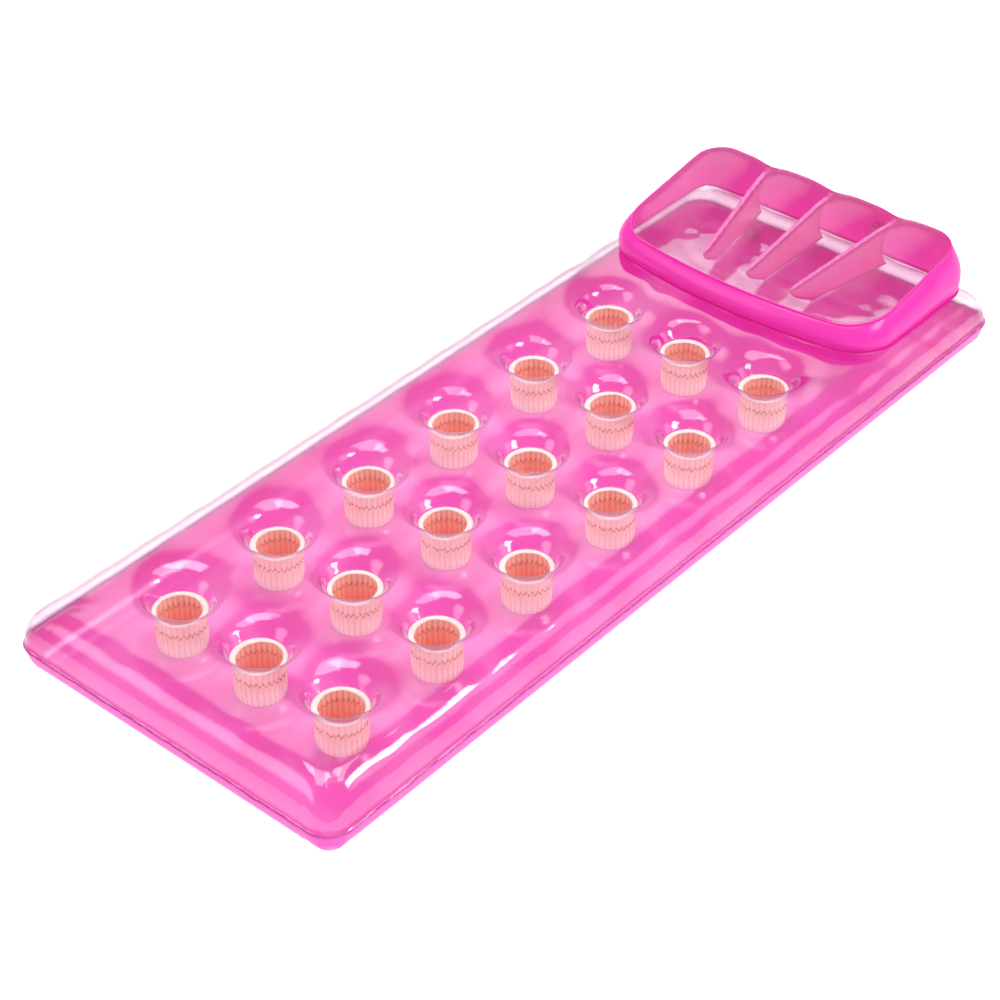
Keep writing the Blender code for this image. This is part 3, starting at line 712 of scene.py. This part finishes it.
def pillow_outline(set_in, arc_steps=10):
    """The pillow's outline in plan, the same number of points whatever it is set in by."""
    half_x = PILLOW_HALF_X - set_in
    front, back = PILLOW_FRONT_Y + set_in, PILLOW_BACK_Y - set_in
    corners = (
        (1, front, PILLOW_FRONT_R, -90, 30),
        (1, back, -PILLOW_BACK_R, 0, 56),
        (-1, back, -PILLOW_BACK_R, 90, 30),
        (-1, front, PILLOW_FRONT_R, 180, 56),
    )
    points = []
    for index, (side, edge_y, reach, start, runs) in enumerate(corners):
        radius, centre_y = abs(reach), edge_y + reach
        arc = [
            (side * (half_x - radius) + radius * math.cos(a), centre_y + radius * math.sin(a))
            for a in (math.radians(start + 90 * step / arc_steps) for step in range(arc_steps + 1))
        ]
        after = corners[(index + 1) % 4]
        begin = math.radians(after[3])
        there = (
            after[0] * (half_x - abs(after[2])) + abs(after[2]) * math.cos(begin),
            after[1] + after[2] + abs(after[2]) * math.sin(begin),
        )
        points += arc
        for step in range(1, runs):
            points.append(tuple(a + (b - a) * step / runs for a, b in zip(arc[-1], there)))
    plan = np.array(points)
    across = np.maximum(1.0 - (plan[:, 0] / PILLOW_HALF_X) ** 2, 0.0)
    plan[:, 1] -= PILLOW_BOW * across * (1.0 - smooth_step(plan[:, 1], front, front + BOW_FADE))
    return plan


def film_under(x, y):
    """Height of the mattress's top film under the pillow, away from its pockets."""
    return SEAM_Z + (RIM_Z + crown_at(y) - SEAM_Z) * quarter_rise(edge_distance(x, y))


def baffle_x(index, y):
    run = (y - BAFFLE_FRONT_Y) / (BAFFLE_BACK_Y - BAFFLE_FRONT_Y)
    return (index - 1) * (BAFFLE_FRONT_X + (BAFFLE_BACK_X - BAFFLE_FRONT_X) * run)


def panel_rim(x, y):
    """Height of the weld at the top of the pillow, drawn down where each baffle pulls on it."""
    run = np.clip((y - PILLOW_FRONT_Y) / (PILLOW_BACK_Y - PILLOW_FRONT_Y), 0.0, 1.0)
    dips = sum(np.exp(-((x - baffle_x(index, BAFFLE_BACK_Y)) / 0.030) ** 2) for index in range(3))
    return FRONT_TOP_Z + (BACK_TOP_Z - FRONT_TOP_Z) * run - 0.007 * dips * smooth_step(run, 0.75, 1.0)


low_line, high_line = pillow_outline(0.0), pillow_outline(TOP_SET_IN)
count = len(low_line)
base_z = film_under(*low_line.T) + PILLOW_LIFT + FILM_T + GAP
rim_z = panel_rim(*high_line.T)
out = low_line - high_line
out /= np.linalg.norm(out, axis=1)[:, None]
along = np.arange(count)
points, faces = [], []
for level in range(WALL_LEVELS):
    share = level / (WALL_LEVELS - 1)
    swell = WALL_BULGE * math.sin(math.pi * share) ** 0.8
    edge = math.exp(-min(share, 1 - share) / 0.10) * (0.0 if level in (0, WALL_LEVELS - 1) else 1.0)
    gather = 0.0007 * np.sin(along * 1.7) * np.sin(along * 0.29) * edge
    ring_xy = low_line + (high_line - low_line) * share + out * (swell + gather)[:, None]
    points += np.column_stack([ring_xy, base_z + (rim_z - base_z) * share]).tolist()
    if level:
        low, high = (level - 1) * count, level * count
        faces += [(low + s, low + (s + 1) % count, high + (s + 1) % count, high + s) for s in range(count)]
wall = thicken(make_piece("pillow_wall_band", points, faces))
pillow_pink = pink_vinyl("pink_vinyl_pillow", (0.99, 0.070, 0.68), (0.98, 0.052, 0.62), 0.45, 0.10, 0.06)
wall.data.materials.append(pillow_pink)
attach(wall, BODY)
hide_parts("pillow_wall")

# ---- Pillow: clear panel and base ---------------------------------------------------------------
# The panel that the head rests on and the base under the pillow's air are clear film. The panel is
# held down along the baffles and rises between them; both gather into small creases at their welds.
PANEL_CROWN = 0.016
PANEL_DECAY = 0.040
PANEL_CREASE = 0.0006
BASE_RIPPLE = 0.0012


def pillow_film(set_in, spacing):
    """Plan of a film inside the pillow's outline: its edge, two lines beside it and a grid."""
    loops = [[tuple(p) for p in pillow_outline(set_in + step).tolist()] for step in (0.0, 0.004, 0.011)]
    clear = np.array(pillow_outline(set_in + 0.011))
    columns, rows = np.meshgrid(np.arange(-0.30, 0.30, spacing), np.arange(0.50, 0.90, spacing * 0.866))
    columns = columns + spacing / 2 * (np.arange(len(columns))[:, None] % 2)
    grid = np.column_stack([columns.ravel(), rows.ravel()])
    edge = np.array(spaced([tuple(p) for p in clear.tolist()], 0.004))
    near = np.hypot(grid[:, None, 0] - edge[:, 0], grid[:, None, 1] - edge[:, 1])
    closest = edge[near.argmin(1)]
    middle = np.array((0.0, (PILLOW_FRONT_Y + PILLOW_BACK_Y) / 2))
    inside = ((closest - grid) * (grid - middle)).sum(1) > 0
    inside |= np.hypot(*((grid - middle) / (0.20, 0.10)).T) < 1
    keep = inside & (near.min(1) > spacing * 0.6)
    return loops, grid[keep]


def nearest(points, places):
    """How far each point lies in plan from the nearest of some places."""
    return np.hypot(points[:, None, 0] - places[:, 0], points[:, None, 1] - places[:, 1]).min(1)


loops, grid = pillow_film(TOP_SET_IN, 0.009)
seam_places = np.linspace(BAFFLE_FRONT_Y, BAFFLE_BACK_Y, 44)
seams = np.array([(baffle_x(index, y), y) for index in range(3) for y in seam_places])
grid = grid[nearest(grid, seams) > 0.005]
plan, faces = cut_film(loops, [tuple(p) for p in grid.tolist()] + [tuple(p) for p in seams.tolist()])
to_edge = nearest(plan, np.array(loops[0]))
to_seam = nearest(plan, seams)
lift = relax(plan, faces, (to_edge < 1e-4) | (to_seam < 1e-4), PANEL_DECAY)
x, y = plan.T
crease = np.sin(x * 260 + 9 * np.sin(y * 21)) * np.exp(-to_edge / 0.016)
crease += 0.7 * np.sin(y * 300) * np.exp(-to_seam / 0.010) * smooth_step(to_seam, 0.003, 0.008)
height = panel_rim(x, y) + PANEL_CROWN * np.power(np.clip(lift, 0, 1), 0.7)
height += PANEL_CREASE * crease * smooth_step(to_edge, 0, 0.004)
panel = thicken(make_piece("pillow_clear_panel", np.column_stack([plan, height + GAP]), faces))
panel_vinyl = clear_vinyl("clear_vinyl_panel", (0.99, 0.98, 0.99), 0.22, 0.01, 0.5, 26.0, (1.0, 0.45, 1.0))
panel.data.materials.append(panel_vinyl)
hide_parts("pillow_top")

loops, grid = pillow_film(0.0, 0.014)
plan, faces = cut_film(loops, [tuple(p) for p in grid.tolist()])
x, y = plan.T
ripple = BASE_RIPPLE * np.sin(x * 75 + 3 * np.sin(y * 40)) * np.sin(y * 66 + 2 * np.sin(x * 31))
to_edge = nearest(plan, np.array(loops[0]))
height = film_under(x, y) + PILLOW_LIFT + ripple * smooth_step(to_edge, 0.0, 0.03)
base = thicken(make_piece("pillow_clear_base", np.column_stack([plan, height]), faces))
base_vinyl = clear_vinyl("clear_vinyl_base", (0.985, 0.96, 0.98), 0.5, 0.02, 1.2, 20.0, (1.0, 0.5, 1.0))
base.data.materials.append(base_vinyl)
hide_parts("pillow_base")
for piece in (panel, base):
    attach(piece, BODY)

# ---- Pillow: baffles ----------------------------------------------------------------------------
# Three upright webs of pink vinyl tie the clear panel to the base and hold the pillow's slope. The
# weld along the top of each shows as a paler strip through the panel, pinched together in front.
BAFFLE_T = 0.0008
STRIP_HALF = 0.0042
baffle_pink = pink_vinyl("pink_vinyl_baffle", (0.99, 0.068, 0.66), (0.98, 0.050, 0.60), 0.48, 0.10)
strip_pink = pink_vinyl("pink_vinyl_strip", (0.99, 0.17, 0.64), (0.98, 0.14, 0.60), 0.25, 0.10)


def build_baffle(index, side):
    """The web, a grid from its base weld to its top weld, with a hollow back edge and a tip."""
    across, up = 30, 12
    points, faces = [], []
    for column in range(across + 1):
        share = column / across
        for row in range(up + 1):
            high = row / up
            front = BAFFLE_FRONT_Y + 0.060 * (1 - high) ** 1.6 - 0.006 * math.sin(math.pi * high)
            back = BAFFLE_BACK_Y - 0.020 * math.sin(math.pi * high) ** 0.8 - 0.002 * (1 - high)
            y = front + (back - front) * share
            foot = float(film_under(baffle_x(index, y), y)) + PILLOW_LIFT + FILM_T + 2 * GAP
            top = float(panel_rim(baffle_x(index, y), y)) - GAP
            belly = 0.0035 * math.sin(math.pi * high) * math.sin(math.pi * share) * (1 if index != 1 else -1)
            points.append((baffle_x(index, y) + belly, y, foot + (top - foot) * high))
    for column in range(across):
        for row in range(up):
            here = column * (up + 1) + row
            faces.append((here, here + 1, here + up + 2, here + up + 1))
    web = thicken(make_piece(f"baffle_{side}_web", points, faces), BAFFLE_T, 0.0)
    web.data.materials.append(baffle_pink)
    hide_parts(f"baffle_{side}")

    points, faces = [], []
    steps = 34
    for step in range(steps + 1):
        share = step / steps
        y = BAFFLE_FRONT_Y + (BAFFLE_BACK_Y - BAFFLE_FRONT_Y) * share
        half = STRIP_HALF * (0.55 + 0.45 * min(1.0, share / 0.08)) * (1 + 0.06 * math.sin(step * 1.3))
        z = float(panel_rim(baffle_x(index, y), y)) - 0.0004 + 0.0002 * math.sin(step * 0.9)
        for sx, sz in ((-half, 0.0), (half, 0.0), (half, -0.0007), (-half, -0.0007)):
            points.append((baffle_x(index, y) + sx, y, z + sz))
        if step:
            low, high = (step - 1) * 4, step * 4
            faces += [(low + s, low + (s + 1) % 4, high + (s + 1) % 4, high + s) for s in range(4)]
    faces += [(0, 1, 2, 3), tuple(steps * 4 + s for s in (3, 2, 1, 0))]
    strip = outward(make_piece(f"baffle_{side}_top_weld", points, faces))
    strip.data.materials.append(strip_pink)
    for piece in (web, strip):
        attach(piece, BODY)


for index, side in enumerate(COLUMNS):
    build_baffle(index, side)

# ---- Pillow: welds ------------------------------------------------------------------------------
# The pillow's wall ends in two narrow pressed lips, one round the clear panel and one on the
# mattress's film, where the pink band was welded on.
top_line = np.column_stack([pillow_outline(TOP_SET_IN - 0.0012), rim_z + 0.0008]).tolist()
foot_line = np.column_stack([pillow_outline(-0.0014), base_z - 0.0010]).tolist()
for name, line, half in (("pillow_top_weld", top_line, 0.0017), ("pillow_foot_weld", foot_line, 0.0022)):
    weld = welded_lip(name, line, half, 0.0008, 0.0004, 0.0)
    weld.data.materials.append(pillow_pink)
    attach(weld, BODY)

# ---- Valves -------------------------------------------------------------------------------------
# One for each air chamber: a seat welded to the vinyl, a stem that pops out of it to be blown into
# and a plug with a tab, all soft moulded vinyl, with a rubber flap at the stem's inner end.
VALVE_SIDES = 48
SEAT_R, SEAT_T = 0.0160, 0.0015
SLEEVE_R, SLEEVE_BORE_R, SLEEVE_DEPTH = 0.0105, 0.0095, 0.012
STEM_R, STEM_BORE_R = 0.0086, 0.0046
STEM_LIP_R, STEM_LIP_T, STEM_TRAVEL = 0.0122, 0.0012, 0.012
COLLAR_R, COLLAR_T = 0.0104, 0.0015
FLAP_R, FLAP_T = 0.0062, 0.0008
PLUG_R, PLUG_T, SHANK_R, PLUG_DEPTH = 0.0080, 0.0016, 0.0040, 0.0060
TAB_R = 0.0155
SEAT_LOW = 2 * GAP
SEAT_TOP = SEAT_LOW + SEAT_T
LIP_LOW = SEAT_TOP + GAP
LIP_TOP = LIP_LOW + STEM_LIP_T
COLLAR_TOP = -SLEEVE_DEPTH - STEM_TRAVEL - GAP
STEM_FOOT = COLLAR_TOP - COLLAR_T
CAP_LOW = LIP_TOP + GAP


def moulded(name, colour, roughness):
    """Soft moulded vinyl or rubber, dyed pink and faintly mottled, with a slight skin texture."""
    material, node, maths = new_material(name)
    coords = node("TexCoord").outputs["Object"]
    mottle = node("TexNoise", Vector=coords, Scale=140.0, Detail=4.0).outputs["Fac"]
    bump = node("Bump", Strength=0.15, Distance=0.0004, Height=mottle).outputs["Normal"]
    shade = ramp(node, mottle, [(0.3, tuple(0.88 * c for c in colour)), (0.7, colour)])
    skin = node("BsdfPrincipled", Base_Color=shade, Normal=bump, IOR=1.5, Coat_Weight=0.1)
    material.node_tree.links.new(maths("MULTIPLY_ADD", mottle, 0.15, roughness), skin.inputs["Roughness"])
    soaked = node("BsdfTranslucent", Color=shade)
    return finish_material(material, node("MixShader", 0.25, skin.outputs[0], soaked.outputs[0]).outputs[0])


def turned(name, profile, closed=True):
    """A piece turned about its own +Z from (radius, height) points; an open profile ends on the axis."""
    rings = profile if closed else profile[1:-1]
    points, faces = [], []
    for radius, height in rings:
        points += [(x, y, height) for x, y in circle((0.0, 0.0), radius, VALVE_SIDES)]
    count = len(rings)
    for band in range(count if closed else count - 1):
        low, high = band * VALVE_SIDES, (band + 1) % count * VALVE_SIDES
        for step in range(VALVE_SIDES):
            beside = (step + 1) % VALVE_SIDES
            faces.append((low + step, low + beside, high + beside, high + step))
    if not closed:
        for end, height in ((0, profile[0][1]), (count - 1, profile[-1][1])):
            points.append((0.0, 0.0, height))
            hub = len(points) - 1
            ring = end * VALVE_SIDES
            faces += [(ring + step, ring + (step + 1) % VALVE_SIDES, hub) for step in range(VALVE_SIDES)]
    return make_piece(name, points, faces)


valve_vinyl = moulded("valve_vinyl_moulded", (0.95, 0.10, 0.45), 0.22)
flap_rubber = moulded("flap_rubber_moulded", (0.95, 0.16, 0.48), 0.40)


def valve_origin(chamber, out):
    """Where the valve's axis meets the vinyl: the seat's lowest ring stands SEAT_LOW above it."""
    nodes = [v.co for v in frame["nodes"][f"{chamber}_valve_seat"].data.vertices]
    middle = sum(nodes, Vector()) / len(nodes)
    top = max(v.dot(out) for v in nodes)
    return middle + out * (top - middle.dot(out) - SEAT_TOP)


def build_valve(chamber):
    """Turned pieces laid along the valve's axis, each riding on its own body."""
    stem_slide = next(j for j in frame["joints"] if j["name"] == f"{chamber}_stem_slide")
    out = Vector(stem_slide["axis"]).normalized()
    out = out if out.y > 0 else -out
    side = Vector((1.0, 0.0, 0.0))
    turn = Matrix((side.cross(out), side, out)).transposed().to_4x4()
    seat = [(SEAT_R, SEAT_LOW), (SEAT_R - 0.0006, SEAT_LOW + SEAT_T * 0.7)]
    seat += [(SLEEVE_BORE_R + 0.0007, SEAT_TOP), (SLEEVE_BORE_R, SEAT_TOP - 0.0006)]
    seat += [(SLEEVE_BORE_R, -SLEEVE_DEPTH)]
    seat += [(SLEEVE_R, -SLEEVE_DEPTH), (SLEEVE_R, SEAT_LOW)]
    stem = [(STEM_BORE_R, LIP_TOP - 0.0003), (STEM_BORE_R + 0.0004, LIP_TOP), (STEM_LIP_R - 0.0005, LIP_TOP)]
    stem += [(STEM_LIP_R, LIP_TOP - 0.0005), (STEM_LIP_R, LIP_LOW), (STEM_R, LIP_LOW), (STEM_R, COLLAR_TOP)]
    stem += [(COLLAR_R, COLLAR_TOP), (COLLAR_R, STEM_FOOT), (STEM_BORE_R, STEM_FOOT)]
    plug = [(0.0, CAP_LOW + PLUG_T), (PLUG_R - 0.0006, CAP_LOW + PLUG_T), (PLUG_R, CAP_LOW + PLUG_T - 0.0005)]
    plug += [(PLUG_R, CAP_LOW), (SHANK_R, CAP_LOW), (SHANK_R * 1.06, CAP_LOW - PLUG_DEPTH * 0.6)]
    plug += [(SHANK_R * 0.9, CAP_LOW - PLUG_DEPTH), (0.0, CAP_LOW - PLUG_DEPTH)]
    flap = [(0.0, 0.0), (FLAP_R - 0.0002, 0.0), (FLAP_R, -0.0002), (FLAP_R, -FLAP_T), (0.0, -FLAP_T)]
    pieces = {
        "seat": turned(f"{chamber}_valve_seat_moulding", seat),
        "stem": turned(f"{chamber}_valve_stem_moulding", stem),
        "plug": turned(f"{chamber}_valve_plug_moulding", plug, closed=False),
        "flap": turned(f"{chamber}_valve_flap_disc", flap, closed=False),
    }
    for point in pieces["plug"].data.vertices:
        if point.co.x < -PLUG_R * 0.55 and abs(point.co.y) < PLUG_R * 0.82 and point.co.z > CAP_LOW - 1e-5:
            point.co.x *= TAB_R / PLUG_R
            point.co.y *= 0.85
    pieces["flap"].data.transform(Matrix.Translation((0.0, 0.0, STEM_FOOT - GAP)))
    origin = valve_origin(chamber, out)
    for part, piece in pieces.items():
        outward(piece)
        piece.matrix_world = Matrix.Translation(origin) @ turn
        piece.data.materials.append(flap_rubber if part == "flap" else valve_vinyl)
        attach(piece, BODY if part == "seat" else f"{chamber}_{part}")
        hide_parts(f"{chamber}_valve_{part}")


for chamber in ("mattress", "pillow"):
    build_valve(chamber)

# ---- Done ---------------------------------------------------------------------------------------
# The box round the finished pieces, leaving out the floor.
low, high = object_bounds()
